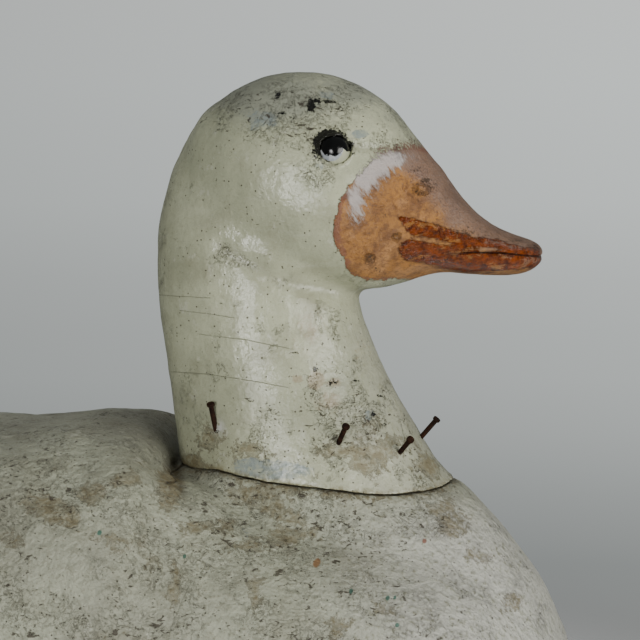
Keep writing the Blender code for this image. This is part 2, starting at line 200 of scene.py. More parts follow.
class Nodes:
    """Builds one procedural material with short calls."""

    def __init__(self, name):
        self.material = bpy.data.materials.new(name)
        self.material.use_nodes = True
        self.tree = self.material.node_tree
        self.shader = self.tree.nodes["Principled BSDF"]
        self.place = self.add("ShaderNodeTexCoord").outputs["Object"]

    def add(self, kind, **settings):
        node = self.tree.nodes.new(kind)
        for key, value in settings.items():
            setattr(node, key, value)
        return node

    def link(self, source, target):
        if hasattr(source, "links"):
            self.tree.links.new(source, target)
        else:
            target.default_value = source

    def math(self, kind, a, b=0.0, clamp=False):
        node = self.add("ShaderNodeMath", operation=kind, use_clamp=clamp)
        for socket, value in zip(node.inputs, (a, b)):
            self.link(value, socket)
        return node.outputs[0]

    def vector(self, kind, *places):
        node = self.add("ShaderNodeVectorMath", operation=kind)
        for socket, value in zip(node.inputs, places):
            self.link(value, socket)
        return node.outputs["Value" if kind == "LENGTH" else "Vector"]

    def step(self, value, low, high):
        """0 below low, 1 above high, smooth between."""
        node = self.add("ShaderNodeMapRange", interpolation_type="SMOOTHSTEP", clamp=True)
        self.link(value, node.inputs["Value"])
        node.inputs["From Min"].default_value = low
        node.inputs["From Max"].default_value = high
        return node.outputs["Result"]

    def moved(self, places, change, value):
        """Places turned or stretched."""
        node = self.add("ShaderNodeMapping")
        self.link(places, node.inputs["Vector"])
        node.inputs[change].default_value = value
        return node.outputs["Vector"]

    def slanted(self, angle, stretch):
        """Places turned about the sideways axis, then stretched."""
        return self.moved(self.moved(self.place, "Rotation", (0.0, angle, 0.0)), "Scale", stretch)

    def noise(self, scale, detail, rough, distort=0.0, stretch=None, at=None):
        where = at if at is not None else self.place
        if stretch is not None:
            where = self.moved(self.place, "Scale", stretch)
        node = self.add("ShaderNodeTexNoise")
        self.link(where, node.inputs["Vector"])
        settings = {"Scale": scale, "Detail": detail, "Roughness": rough, "Distortion": distort}
        for socket, value in settings.items():
            node.inputs[socket].default_value = value
        return node.outputs["Fac"]

    def cells(self, scale):
        """Distance to the nearest of many scattered points, and a random number for each of them."""
        node = self.add("ShaderNodeTexVoronoi")
        self.link(self.place, node.inputs["Vector"])
        node.inputs["Scale"].default_value = scale
        split = self.add("ShaderNodeSeparateColor")
        self.link(node.outputs["Color"], split.inputs[0])
        return node.outputs["Distance"], split.outputs[0]

    def plus(self, a, b):
        return self.math("ADD", a, b)

    def minus(self, a, b):
        return self.math("SUBTRACT", a, b)

    def times(self, a, b):
        return self.math("MULTIPLY", a, b)

    def size(self, value):
        return self.math("ABSOLUTE", value)

    def swing(self, noise, width):
        """Noise moved to lie about 0, times a width."""
        return self.times(self.minus(noise, 0.5), width)

    def rest(self, share):
        """What a share leaves of 1."""
        return self.math("SUBTRACT", 1.0, share)

    def part(self, share, value):
        """A share of a share, kept from 0 to 1."""
        return self.math("MULTIPLY", share, value, clamp=True)

    def mask(self, name):
        return self.add("ShaderNodeAttribute", attribute_name=name).outputs["Fac"]

    def mix(self, share, a, b):
        node = self.add("ShaderNodeMix", data_type="RGBA")
        self.link(share, node.inputs[0])
        for socket, value in ((node.inputs[6], a), (node.inputs[7], b)):
            self.link((*value, 1.0) if isinstance(value, tuple) else value, socket)
        return node.outputs[2]

    def blend(self, share, a, b):
        node = self.add("ShaderNodeMix", data_type="FLOAT")
        self.link(share, node.inputs[0])
        self.link(a, node.inputs[2])
        self.link(b, node.inputs[3])
        return node.outputs[0]

    def bump(self, height, strength, depth):
        node = self.add("ShaderNodeBump")
        node.inputs["Strength"].default_value = strength
        node.inputs["Distance"].default_value = depth
        self.link(height, node.inputs["Height"])
        return node.outputs["Normal"]

    def finish(self, colour, roughness, normal, metallic=None):
        self.link(colour, self.shader.inputs["Base Color"])
        self.link(roughness, self.shader.inputs["Roughness"])
        self.link(normal, self.shader.inputs["Normal"])
        if metallic is not None:
            self.link(metallic, self.shader.inputs["Metallic"])
        return self.material


def give(obj, material):
    obj.data.materials.clear()
    obj.data.materials.append(material)


# ---------------- surfaces

IVORY = (0.534, 0.549, 0.384)
IVORY_DULL = (0.390, 0.405, 0.278)
GREY_WHITE = (0.440, 0.455, 0.345)
GREY_DULL = (0.345, 0.350, 0.270)
PRIMER = (0.64, 0.64, 0.525)
OLIVE = (0.16, 0.145, 0.085)
STAIN = (0.165, 0.130, 0.060)
STAIN_EDGE = (0.085, 0.062, 0.028)
UNDERPAINT = (0.240, 0.285, 0.280)
CRACK = (0.055, 0.042, 0.028)
BLACK_COAT = (0.003, 0.0025, 0.002)
# Whiter paint for the painted light on the chest and lower neck, and for small pale scrapes.
LIGHT_AND_SCRAPE_WHITE = (0.60, 0.595, 0.545)
RUBBED_GREY = (0.218, 0.230, 0.200)
# Dark brown for painted shade in hollows and creases, with some grime.
SHADE_AND_GRIME = (0.060, 0.050, 0.036)
JOINT_DARK = (0.030, 0.021, 0.013)
BLUSH = (0.36, 0.27, 0.175)
SALMON = (0.500, 0.225, 0.054)
SALMON_DULL = (0.365, 0.166, 0.046)
SALMON_BROWN = (0.200, 0.086, 0.031)
SALMON_PALE = (0.58, 0.30, 0.125)
SALMON_SOILED = (0.17, 0.074, 0.030)
BILL_SPECK = (0.11, 0.050, 0.022)
BILL_VEIN = (0.12, 0.052, 0.022)
RIDGE_PINK = (0.275, 0.175, 0.130)
RIDGE_WORN = (0.38, 0.30, 0.26)
RIDGE_SPECK = (0.105, 0.062, 0.042)
KNOT_BROWN = (0.10, 0.048, 0.020)
RUB_WHITE = (0.60, 0.56, 0.54)
RUB_CRUMB = (0.60, 0.53, 0.51)
BORDER_RED = (0.235, 0.095, 0.060)
RED_BRIGHT = (0.285, 0.056, 0.0032)
RED_DEEP = (0.075, 0.0125, 0.0015)
RED_EDGE = (0.10, 0.035, 0.012)
BILL_BLACK = (0.060, 0.032, 0.016)
MOUTH_DARK = (0.03, 0.010, 0.005)
# Specks of paint splashed on the flank: place and radius in mm, and colour.
GREEN, RED_OCHRE, ORANGE = (0.004, 0.110, 0.075), (0.20, 0.045, 0.020), (0.30, 0.13, 0.03)
SPECKS = [
    ((230, -85, 146), 0.9, GREEN), ((245, -83, 143), 0.9, GREEN), ((248, -81, 143), 0.7, GREEN),
    ((250, -92, 134), 0.9, GREEN), ((126, -97, 170), 1.0, GREEN), ((160, -87, 159), 0.7, GREEN),
    ((257, -47, 160), 1.0, RED_OCHRE), ((214, -75, 155), 1.6, ORANGE),
]


def paint_material(name, light, dull, dirt=0.0, bill=False, specks=()):
    """Old oil paint on carved wood: lumpy, cracked, dirty in its pores, stained and chipped in places.

    dirt shifts how much of the surface is marked.
    """
    m = Nodes(name)
    broad = m.noise(13, 3, 0.55)
    cloud = m.noise(48, 5, 0.62)
    lump = m.noise(215, 2, 0.45)
    fine = m.noise(430, 4, 0.7)
    grit = m.noise(1300, 3, 0.7)
    brush = m.noise(150, 3, 0.6, 0.3, stretch=(0.16, 0.16, 1.0))
    torn = m.noise(230, 6, 0.78)
    crumb = m.noise(820, 5, 0.8)
    ragged = m.plus(m.minus(torn, 0.5), m.swing(fine, 0.7))
    part = m.part

    def over(mask, spread, low, high):
        """A soft mask given a torn edge."""
        return m.step(m.plus(m.mask(mask), m.times(ragged, spread)), low, high)

    colour = m.mix(m.step(broad, 0.36, 0.64), light, dull)
    colour = m.mix(part(m.step(cloud, 0.44, 0.78), 0.40), colour, OLIVE)
    colour = m.mix(part(m.step(brush, 0.54, 0.76), 0.16), colour, PRIMER)
    colour = m.mix(part(m.step(fine, 0.50, 0.74), 0.22 + 0.5 * dirt), colour, OLIVE)
    colour = m.mix(part(m.step(grit, 0.54, 0.68), 0.20 + 0.6 * dirt), colour, OLIVE)
    colour = m.mix(part(m.step(m.noise(95, 5, 0.75), 0.60, 0.66), 0.35 + 0.3 * dirt), colour, PRIMER)
    # Painted light: a whiter zone on the chest and the front of the lower neck, where the light falls
    # strongest, plus small pale scrapes.
    light_and_scrape = m.times(m.mask("light_and_scrape"), m.rest(m.step(fine, 0.48, 0.68)))
    colour = m.mix(part(light_and_scrape, 0.75), colour, LIGHT_AND_SCRAPE_WHITE)
    colour = m.mix(part(over("blush", 0.9, 0.30, 0.60), 0.55), colour, BLUSH)
    # Bald, greyer paint where hands and weather have rubbed it.
    colour = m.mix(part(over("bald", 0.9, 0.2, 0.8), 0.62), colour, RUBBED_GREY)
    # Painted shade, with some grime, darkening the hollows, creases and grooves.
    colour = m.mix(part(m.mask("shade_and_grime"), 0.9), colour, SHADE_AND_GRIME)
    # Brown stains, darker along their edges and scraped through in streaks.
    wear = m.mask("wear")
    spread = m.plus(m.mask("stain"), m.swing(cloud, 0.9 + dirt))
    spread = m.plus(spread, m.times(ragged, 1.15))
    stain = m.step(spread, 0.36, 0.60)
    rim = m.times(m.step(spread, 0.36, 0.42), m.rest(m.step(spread, 0.42, 0.50)))
    streak = m.step(m.noise(330, 5, 0.75, 0.5, stretch=(0.6, 1.0, 1.0)), 0.38, 0.58)
    stain_share = m.times(stain, m.plus(0.22, m.times(streak, 0.55)))
    colour = m.mix(stain_share, colour, STAIN)
    colour = m.mix(part(rim, 0.60), colour, STAIN_EDGE)
    # Blue-grey underpaint in torn patches.
    blue = over("blue", 0.9, 0.42, 0.56)
    colour = m.mix(part(m.times(blue, m.plus(0.5, streak)), 0.56), colour, UNDERPAINT)
    # Dirt in the hair cracks: thin crooked lines, only here and there.
    coverage = m.plus(m.noise(62, 3, 0.6), m.times(wear, 0.22))
    line = 0.0
    for scale, distort in ((105, 0.7), (230, 0.4)):
        crooked = m.noise(scale, 6, 0.72, distort)
        ridge = m.size(m.minus(crooked, 0.5))
        ridge = m.rest(m.step(ridge, 0.001, 0.010))
        line = m.math("MAXIMUM", line, ridge)
    line = m.times(line, m.step(coverage, 0.60 - dirt * 0.16, 0.74 - dirt * 0.1))
    colour = m.mix(part(line, 0.78), colour, CRACK)
    # Pores and nicks, short and lying along the wood.
    nick = m.noise(520, 4, 0.65, 0.6, stretch=(0.5, 0.5, 1.0))
    limit = m.minus(0.705 - dirt * 0.07, m.times(wear, 0.10))
    nick = m.step(m.minus(nick, limit), 0.0, 0.03)
    colour = m.mix(part(nick, 0.85), colour, CRACK)
    # Pinholes and fly specks.
    near, chance = m.cells(470)
    near = m.plus(near, m.swing(crumb, 0.35))
    limit = m.minus(0.84 - 0.03 * dirt, m.times(wear, 0.28))
    speck = m.rest(m.step(near, 0.11, 0.20))
    speck = m.times(speck, m.math("GREATER_THAN", chance, limit))
    colour = m.mix(part(speck, 0.85), colour, CRACK)
    # Whole chips down to the old black coat, ragged at two scales.
    flake = m.plus(m.mask("chip"), m.plus(m.times(ragged, 0.8), m.swing(crumb, 2.6)))
    chip = m.step(flake, 0.56, 0.64)
    colour = m.mix(part(chip, 0.97), colour, BLACK_COAT)
    # Long scratches: a signed distance in mm, shown where its share allows.
    thin = m.size(m.plus(m.mask("scratch"), m.times(ragged, 0.55)))
    thin = m.times(m.rest(m.step(thin, 0.03, 0.22)), m.mask("scratch_share"))
    thin = m.times(thin, m.step(crumb, 0.36, 0.52))
    colour = m.mix(part(thin, 0.28), colour, CRACK)
    # The open joint between neck and body.
    seam = m.size(m.plus(m.mask("seam"), m.times(ragged, 0.5)))
    seam_dark = m.rest(m.step(seam, 0.14, 0.46))
    seam_dark = m.times(seam_dark, m.mask("seam_share"))
    colour = m.mix(part(seam_dark, 0.92), colour, JOINT_DARK)
    soiled = m.times(m.rest(m.step(seam, 0.6, 3.4)), m.step(fine, 0.38, 0.58))
    soiled = m.times(soiled, m.mask("seam_share"))
    colour = m.mix(part(soiled, 0.62), colour, STAIN)
    for middle, radius, tint in specks:
        away = m.vector("SUBTRACT", m.place, Vector(middle) * MM)
        reach = m.vector("LENGTH", m.vector("MULTIPLY", away, (1.0, 0.2, 1.0)))
        reach = m.plus(reach, m.times(ragged, 0.0012))
        here = m.rest(m.step(reach, radius * 0.7 * MM, radius * 1.15 * MM))
        colour = m.mix(part(here, 0.8), colour, tint)
    rough_value = m.blend(m.step(cloud, 0.3, 0.7), 0.17 + dirt * 0.5, 0.29 + dirt * 0.4)
    rough_value = m.plus(rough_value, m.times(stain, 0.25))
    rough_value = m.plus(rough_value, m.times(wear, 0.12 + dirt * 0.1))
    rough_value = m.blend(chip, rough_value, 0.12)
    height = m.plus(m.times(lump, 0.24 + 2.4 * dirt), m.times(cloud, 0.9 + dirt))
    for source, share in (
        (brush, 0.14), (fine, 0.13 + 1.3 * dirt), (stain, -0.15), (line, -0.3), (nick, -0.4),
        (chip, -0.30), (speck, -0.35), (thin, -0.3), (seam_dark, -1.0), (crumb, 0.6 * dirt),
    ):
        height = m.plus(height, m.times(source, share))
    if bill:
        colour, rough_value, height = bill_layers(m, colour, rough_value, height, fine, cloud, grit)
    return m.finish(colour, rough_value, m.bump(height, 0.8, 0.0016))


def bill_layers(m, colour, rough_value, height, fine, cloud, grit):
    """The bill's paint over the head's: worn salmon, pink ridge, white rub and glossy red left in streaks."""

    def torn(mask, source, spread, low, high):
        return m.step(m.plus(m.mask(mask), m.swing(source, spread)), low, high)

    part = m.part
    crumb = m.noise(900, 5, 0.8)
    frost = m.swing(crumb, m.times(m.mask("frost"), 46.0))
    edge = m.plus(m.mask("bill"), m.swing(fine, 5.0))
    bill = m.step(m.plus(edge, frost), -0.25, 0.3)
    along = m.noise(260, 5, 0.72, 0.2, at=m.slanted(math.radians(12), (0.28, 1.0, 1.0)))
    strokes = m.noise(520, 5, 0.8, 0.0, at=m.slanted(math.radians(-56), (0.22, 1.0, 1.0)))
    blotch = m.noise(110, 5, 0.7)
    salmon = m.mix(m.step(cloud, 0.35, 0.7), SALMON, SALMON_DULL)
    salmon = m.mix(part(m.step(blotch, 0.47, 0.62), 0.78), salmon, SALMON_BROWN)
    salmon = m.mix(part(m.step(m.noise(60, 4, 0.6), 0.48, 0.66), 0.62), salmon, SALMON_PALE)
    salmon = m.mix(part(m.step(fine, 0.48, 0.64), 0.58), salmon, SALMON_SOILED)
    salmon = m.mix(part(m.step(crumb, 0.54, 0.64), 0.5), salmon, BILL_SPECK)
    vein = m.size(m.minus(m.noise(150, 5, 0.7, 0.6), 0.5))
    vein = m.rest(m.step(vein, 0.002, 0.02))
    vein = m.times(vein, m.step(blotch, 0.44, 0.56))
    salmon = m.mix(part(vein, 0.5), salmon, BILL_VEIN)
    salmon = m.mix(part(torn("ridge", blotch, 0.9, 0.15, 0.95), 0.80), salmon, RIDGE_PINK)
    worn = m.times(m.mask("ridge"), m.step(grit, 0.5, 0.6))
    salmon = m.mix(part(worn, 0.5), salmon, RIDGE_WORN)
    pepper = m.times(m.mask("ridge"), m.step(crumb, 0.51, 0.60))
    salmon = m.mix(part(pepper, 0.62), salmon, RIDGE_SPECK)
    # Three knots and dents that the paint has sunk into.
    ring = m.plus(m.mask("ring"), m.swing(crumb, 1.2))
    ring = m.rest(m.step(m.size(m.minus(ring, 0.6)), 0.02, 0.22))
    salmon = m.mix(part(ring, 0.32), salmon, KNOT_BROWN)
    rub = torn("rub", strokes, 2.3, 0.34, 0.80)
    salmon = m.mix(part(rub, 0.86), salmon, RUB_WHITE)
    rub_crumb = m.times(m.mask("rub"), m.step(crumb, 0.5, 0.6))
    salmon = m.mix(part(rub_crumb, 0.55), salmon, RUB_CRUMB)
    salmon = m.mix(part(torn("border", strokes, 2.6, 0.42, 0.80), 0.72), salmon, BORDER_RED)
    drag = m.plus(m.times(along, 0.8), m.times(crumb, 0.35))
    red = torn("red", drag, 7.0, 0.25, 0.5)
    gap = m.step(m.plus(along, m.swing(crumb, 0.35)), 0.545, 0.585)
    tone = m.mix(m.step(fine, 0.35, 0.65), RED_BRIGHT, RED_DEEP)
    salmon = m.mix(m.times(red, m.rest(m.times(gap, 0.75))), salmon, tone)
    edge_dark = m.times(torn("red", drag, 7.0, -0.6, 0.25), m.rest(red))
    salmon = m.mix(part(edge_dark, 0.6), salmon, RED_EDGE)
    salmon = m.mix(part(torn("bill_dark", crumb, 2.4, 0.3, 0.6), 0.85), salmon, BILL_BLACK)
    mouth = m.size(m.plus(m.mask("mouth"), m.swing(fine, 0.5)))
    mouth = m.times(m.rest(m.step(mouth, 0.12, 0.5)), m.mask("mouth_share"))
    salmon = m.mix(part(mouth, 0.9), salmon, MOUTH_DARK)
    colour = m.mix(bill, colour, salmon)
    rough_value = m.blend(bill, rough_value, m.blend(red, 0.40, 0.09))
    lift = m.times(red, m.plus(0.9, m.times(along, 3.4)))
    for source, share in (
        (grit, 0.3), (crumb, 0.5), (blotch, 0.9), (bill, 0.4), (mouth, -1.2), (ring, -0.5), (rub, 0.3),
    ):
        lift = m.plus(lift, m.times(source, share))
    height = m.plus(height, m.times(lift, bill))
    return colour, rough_value, height


WOOD_PORE = (0.06, 0.04, 0.025)
WOOD_SMEAR = (0.15, 0.13, 0.11)


def wood_material(name, light, dark):
    """Bare old wood: fine grain along the bird, dark pores and grey smears."""
    m = Nodes(name)
    grain = m.noise(60, 5, 0.65, 1.2, stretch=(0.12, 1.0, 1.0))
    pores = m.noise(700, 3, 0.6, 0.0, stretch=(0.06, 1.0, 1.0))
    colour = m.mix(m.step(grain, 0.35, 0.65), light, dark)
    colour = m.mix(m.times(m.step(pores, 0.55, 0.7), 0.6), colour, WOOD_PORE)
    smear = m.noise(24, 4, 0.6)
    colour = m.mix(m.times(m.step(smear, 0.5, 0.75), 0.5), colour, WOOD_SMEAR)
    height = m.plus(m.times(grain, 0.6), m.times(pores, -0.6))
    return m.finish(colour, m.blend(grain, 0.7, 0.85), m.bump(height, 0.5, 0.0008))


DARK_RUST = (0.011, 0.0055, 0.004)
RED_RUST = (0.040, 0.0165, 0.008)
PIT_BROWN = (0.014, 0.008, 0.006)
BARE_IRON = (0.17, 0.14, 0.12)


def rust_material(name, tone):
    """Brown rust with darker pits; tone is how light it is and how much bare metal still shows."""
    m = Nodes(name)
    m.shader.inputs["Specular IOR Level"].default_value = 0.12
    patch = m.noise(260, 5, 0.7)
    pit = m.noise(1500, 3, 0.7)
    dark, red = (tuple(part * (1 + 3 * tone) for part in look) for look in (DARK_RUST, RED_RUST))
    rust = m.mix(m.step(patch, 0.35, 0.7), dark, red)
    rust = m.mix(m.times(m.step(pit, 0.5, 0.7), 0.7), rust, PIT_BROWN)
    bare = m.times(m.step(m.noise(90, 4, 0.65), 0.62 - 0.2 * tone, 0.72 - 0.2 * tone), tone)
    colour = m.mix(m.part(bare, 0.55), rust, BARE_IRON)
    height = m.plus(patch, m.times(pit, 0.6))
    return m.finish(
        colour, m.blend(bare, 0.85, 0.45), m.bump(height, 0.6, 0.0004), m.times(bare, 0.9)
    )


BEAD_BLACK = (0.002, 0.002, 0.002)
BEAD_WHITE = (0.52, 0.54, 0.55)
BEAD_GREY = (0.36, 0.39, 0.42)
LID_CREAM = (0.47, 0.485, 0.345)


def bead_material():
    """A glossy black bead under torn white paint, with the head's cream paint drawn in over its rim."""
    m = Nodes("eye_bead_look")
    fine = m.noise(900, 4, 0.7)
    cloud = m.noise(300, 3, 0.6)
    where = m.plus(m.plus(m.mask("bare"), m.swing(fine, 1.6)), m.swing(cloud, 1.3))
    bare = m.step(where, 0.42, 0.47)
    skin = m.mix(m.step(cloud, 0.4, 0.65), BEAD_WHITE, BEAD_GREY)
    lid = m.step(m.plus(m.mask("lid"), m.swing(fine, 0.8)), 0.40, 0.60)
    skin = m.mix(lid, skin, LID_CREAM)
    colour = m.mix(bare, skin, BEAD_BLACK)
    rough_value = m.blend(bare, m.blend(lid, 0.12, 0.34), 0.14)
    height = m.minus(m.times(fine, 0.3), bare)
    return m.finish(colour, rough_value, m.bump(height, 0.7, 0.0004))


HEAD_PAINT = paint_material("head_paint_look", IVORY, IVORY_DULL, 0.0, bill=True)
BODY_PAINT = paint_material("body_paint_look", GREY_WHITE, GREY_DULL, 0.45, specks=SPECKS)
WING_PAINT = paint_material("wing_paint_look", GREY_WHITE, GREY_DULL, 0.3)
BOARD = wood_material("board_look", (0.24, 0.17, 0.11), (0.15, 0.105, 0.07))
PEG = wood_material("peg_look", (0.42, 0.29, 0.17), (0.30, 0.20, 0.12))
NAIL_RUST = rust_material("nail_look", 0.0)
IRON = rust_material("iron_look", 0.7)
BEAD = bead_material()


# ---------------- head and neck


def seat_gap(co):
    """Height above the joint between neck and body, mm."""
    return (co[:, 2] - (SEAT_Z + SEAT_SLOPE * (co[:, 0] - NECK_X))) / MM


def press(co, normals, amount_mm):
    """Moves points inwards along their normals."""
    return co - normals * (np.asarray(amount_mm) * MM)[:, None]


def spot(at, x, z, along, up):
    """A soft round rise, 1 at its middle."""
    return np.exp(-(((at[:, 0] - x) / along) ** 2) - ((at[:, 1] - z) / up) ** 2)


def ditch(gap, width):
    """A soft hollow, 1 at its middle line."""
    return np.exp(-((gap / width) ** 2))


def near_weight(at, spots):
    """Soft patches: (x, z, reach along, reach up, strength) in mm on the side view."""
    total = np.zeros(len(at))
    for x, z, along, up, strength in spots:
        d = ((at[:, 0] - x) / along) ** 2 + ((at[:, 1] - z) / up) ** 2
        total = np.maximum(total, strength * np.exp(-d * 0.7))
    return total


MOUTH = [(58, 279.5), (70, 280.4), (82, 280.2), (92, 279.0), (101, 278.4)]
JAW = [(17, 264), (4, 263.6), (-9, 265.5), (-22, 270), (-34, 276), (-44, 282)]
BROW = [(14, 328.5), (24, 327.0), (31, 328.0), (36, 329)]
BILL_EDGE = [
    (56, 334), (45, 329.5), (38, 328.5), (30, 327.5), (24, 322), (17, 315), (12, 309.5),
    (8.5, 302), (6.2, 294.5), (6.2, 287), (8, 281), (10.8, 278), (11.3, 273.5), (15, 270),
    (21, 268), (28.5, 268), (35, 268.5), (43, 268), (60, 262), (130, 262), (130, 334),
]
RIDGE_LINE = [(36, 334), (54, 319), (62, 307.4), (69, 299.8), (80, 293.5), (90, 289.5), (98, 286)]
# Where the bill's edge is red: at its side, below and above.
BILL_BORDERS = [
    [(10.5, 305), (8.2, 300), (7.2, 294), (7.4, 287), (9.5, 281), (11.5, 276)],
    [(12, 272), (20, 268.8), (34, 268.6)],
    [(33, 327.0), (42, 327.6), (48, 326)],
]
# Soft spots of each look: place along and up, reach along and up in mm, and strength.
HEAD_SPOTS = {
    "rub": [
        (20, 313, 6, 6.5, 0.95), (26, 319, 7, 5.5, 1.1), (32, 322, 6, 4, 1.15),
        (16, 306, 4.5, 8, 0.9), (17, 299, 4, 6, 0.65), (38, 324, 6, 3, 0.5),
    ],
    "frost": [(28, 327, 9, 5, 0.8), (40, 330, 9, 5, 1.0), (50, 331, 8, 6, 1.0), (18, 318, 3, 4, 0.4)],
    "ring": [(46, 309, 4.5, 3.0, 0.9), (22.3, 277.7, 2.6, 2.4, 1.0), (34.5, 287.3, 2.2, 2.0, 1.0)],
    "blue": [
        (18, 333.5, 6, 2.2, 0.7), (-26, 340, 8, 5, 0.75), (3, 351, 5, 3, 0.6), (0, 320, 8, 5, 0.45),
        (-22, 182.5, 15, 3.6, 1.25), (-32, 185, 6, 3, 1.0), (22, 207, 4, 4, 0.6),
    ],
    "blush": [
        (-5.4, 246, 9, 15, 0.42), (4.5, 213, 7, 5, 0.6), (-1.8, 222.7, 3.4, 3.6, 1.2),
        (-10, 223.6, 3, 1.8, 0.8), (18, 236, 5, 10, 0.35), (6.8, 222, 3, 2, 0.8),
    ],
    "bald": [
        (-20, 350, 28, 12, 0.95), (12, 352, 20, 8, 0.8), (40, 346, 14, 9, 0.7),
        (-48, 340, 16, 14, 0.35), (10, 222, 10, 4, 0.35),
    ],
}
WORN_SPOTS = [
    (-14, 345, 33, 10, 1.15), (35, 340, 20, 12, 0.6), (0, 318, 12, 9, 0.65), (2, 200, 50, 18, 0.8),
    (-12, 335, 14, 7, 1.2),
]
PALE_SCRAPES = [(-45.5, 201.5, 2.0, 2.2, 1.5)]
# Scratches round the back of the neck, top to bottom.
SCRATCHES = [
    [(-75, 261.5), (-62, 260.6), (-49, 259.9)],
    [(-64, 254.4), (-50, 252.8), (-38, 250.8)],
    [(-56, 243.8), (-34, 241.2), (-11, 236.6)],
    [(-68, 226.8), (-50, 225.6), (-30, 222.5), (-13, 219.4)],
]
BODY_CRACKS = [
    [(-57, 134), (-62, 124), (-67, 112), (-69, 102)],
    [(-100, 118), (-92, 113), (-80, 111)],
    [(50, 150), (58, 142), (66, 130)],
]


def signed_lines(at, lines):
    """Signed distance to the nearest of several separate lines, and a share that fades at their ends.

    The side that counts as positive alternates from line to line, so no false zero lies between two.
    """
    gap = np.full(len(at), 50.0)
    share = np.zeros(len(at))
    for number, line in enumerate(lines):
        far, along = line_distance(at, line)
        points = np.array(line, float)
        level = np.interp(at[:, 0], *zip(*sorted(map(tuple, points))))
        flip = 1 if number % 2 else -1
        side = np.where(at[:, 1] > level, 1.0, -1.0) * flip
        closer = far < np.abs(gap)
        gap = np.where(closer, far * side, gap)
        inside = smooth_step(0.0, 0.05, along) * smooth_step(1.0, 0.95, along) * smooth_step(4, 2, far)
        share = np.where(closer, inside, share)
    return gap, share


# How far the joint strays from its plane, along the side view, mm.
JOINT_STRAY = [
    (-66, 0.4), (-62, 0.9), (-57, 1.1), (-46, 3.4), (-37, 2.2), (-23, 0.9), (-12, 0.6), (4, 0), (16, -1.4),
    (27, -2.2), (37, -2.1), (49, -1.3), (56, -0.6), (62, 1.0),
]


def stray_joint(co):
    """Bends both edges of the joint between neck and body alike, fading out above and below it."""
    at = side_view(co)
    along, shift = zip(*JOINT_STRAY)
    fade = smooth_step(18.0, 2.0, np.abs(seat_gap(co))) * smooth_step(80, 66, np.abs(co[:, 0] - NECK_X) / MM)
    fade = fade * smooth_step(75, 60, np.abs(co[:, 1]) / MM)
    ripple = rough(co, 0.008, 5, 2) * 0.25
    co[:, 2] += (np.interp(at[:, 0], along, shift) + ripple) * fade * MM
    return co


def close_lids(co):
    """Draws the paint in over each eye's bead, leaving an almond opening."""
    for node, side in (("eye_right", -1), ("eye_left", 1)):
        low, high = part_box(node)
        centre = np.array((low + high) / 2)
        bead = (high.x - low.x) / 2
        out = np.array((0.12, side * 0.93, 0.35))
        out /= np.linalg.norm(out)
        fore = np.array((1.0, 0.0, 0.0)) - out * out[0]
        fore /= np.linalg.norm(fore)
        rise = np.cross(out, fore) * side * -1.0
        rise *= np.sign(rise[2])
        rel = co - centre
        height, x, z = rel @ out, rel @ fore, rel @ rise
        reach = np.hypot(x, z)
        near = (height > 0) & (reach < 0.015)
        turn = np.arctan2(z, x)
        narrow = np.where(z > 0, 0.60, 0.70)
        opening = bead * 0.78 / np.sqrt(np.cos(turn) ** 2 + (np.sin(turn) / narrow) ** 2)
        draw = (bead + 0.0003 - opening) * smooth_step(0.014, 0.0073, reach)
        scale = np.where(near, np.maximum(reach - draw, 0) / np.maximum(reach, 1e-6), 1.0)
        flat = rel - height[:, None] * out
        rel = np.where(near[:, None], height[:, None] * out + flat * scale[:, None], rel)
        least = np.where(reach > bead + 0.0004, bead + 0.0011, bead + 0.0003)
        length = np.linalg.norm(rel, axis=1)
        lift = np.where(near & (length < least), least / np.maximum(length, 1e-6), 1.0)
        co = centre + rel * lift[:, None]
    return co


HEAD_GRAIN = 0.0011
EYE_SOCKET = (6.5, 326.3)  # the eye's middle on the side view, mm
MOUTH_CUT, JAW_CUT, BROW_CUT = 1.0, 2.5, 0.9  # depths, mm


def make_head():
    obj = fine_copy("head_and_neck", "head_carving", HEAD_GRAIN)
    mesh = obj.data
    co, edges = read_points(mesh), read_edges(mesh)
    raw_gap = seat_gap(co)
    free = smooth_step(0.8, 6.0, raw_gap) * (1 - 0.85 * smooth_step(0.045, 0.085, co[:, 0] - NECK_X))
    eyes = [np.array(sum(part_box(name), Vector())) / 2 for name in ("eye_right", "eye_left")]
    for centre in eyes:
        free *= smooth_step(0.008, 0.013, np.linalg.norm(co - centre, axis=1))
    co = relax(co, edges, 55, free)
    co = relax(co, edges, 4, smooth_step(0.8, 3.0, raw_gap))
    write_points(mesh, co)
    normals = read_normals(mesh)
    at = side_view(co)
    # The groove of the mouth, the crease under the jaw, the brow, and the hollow and rise by the eye.
    gap, share = line_distance(at, MOUTH)
    cut_in = MOUTH_CUT * ditch(gap, 0.9) * smooth_step(0, 0.25, share)
    gap, share = line_distance(at, JAW)
    cut_in += JAW_CUT * ditch(gap, 4.6) * smooth_step(0, 0.2, share) * (1 - 0.55 * share)
    gap, share = line_distance(at, BROW)
    cut_in += BROW_CUT * ditch(gap, 1.6) * (1 - share * 0.6)
    cut_in += 0.9 * spot(at, 19, 323, 8, 6) - 0.8 * spot(at, 14, 336, 14, 4)
    eye_gap = np.hypot(at[:, 0] - EYE_SOCKET[0], at[:, 1] - EYE_SOCKET[1])
    facets = rough(co, 0.030, 1, 2) * 0.55 + rough(co, 0.008, 2, 2) * 0.16
    co = press(co, normals, cut_in + facets * smooth_step(0.5, 4, raw_gap))
    co = stray_joint(co)
    co = close_lids(co)
    write_points(mesh, co)
    mark_head(mesh, co, raw_gap, eye_gap)
    give(obj, HEAD_PAINT)
    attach(obj, "decoy_body")
    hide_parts("head_and_neck")


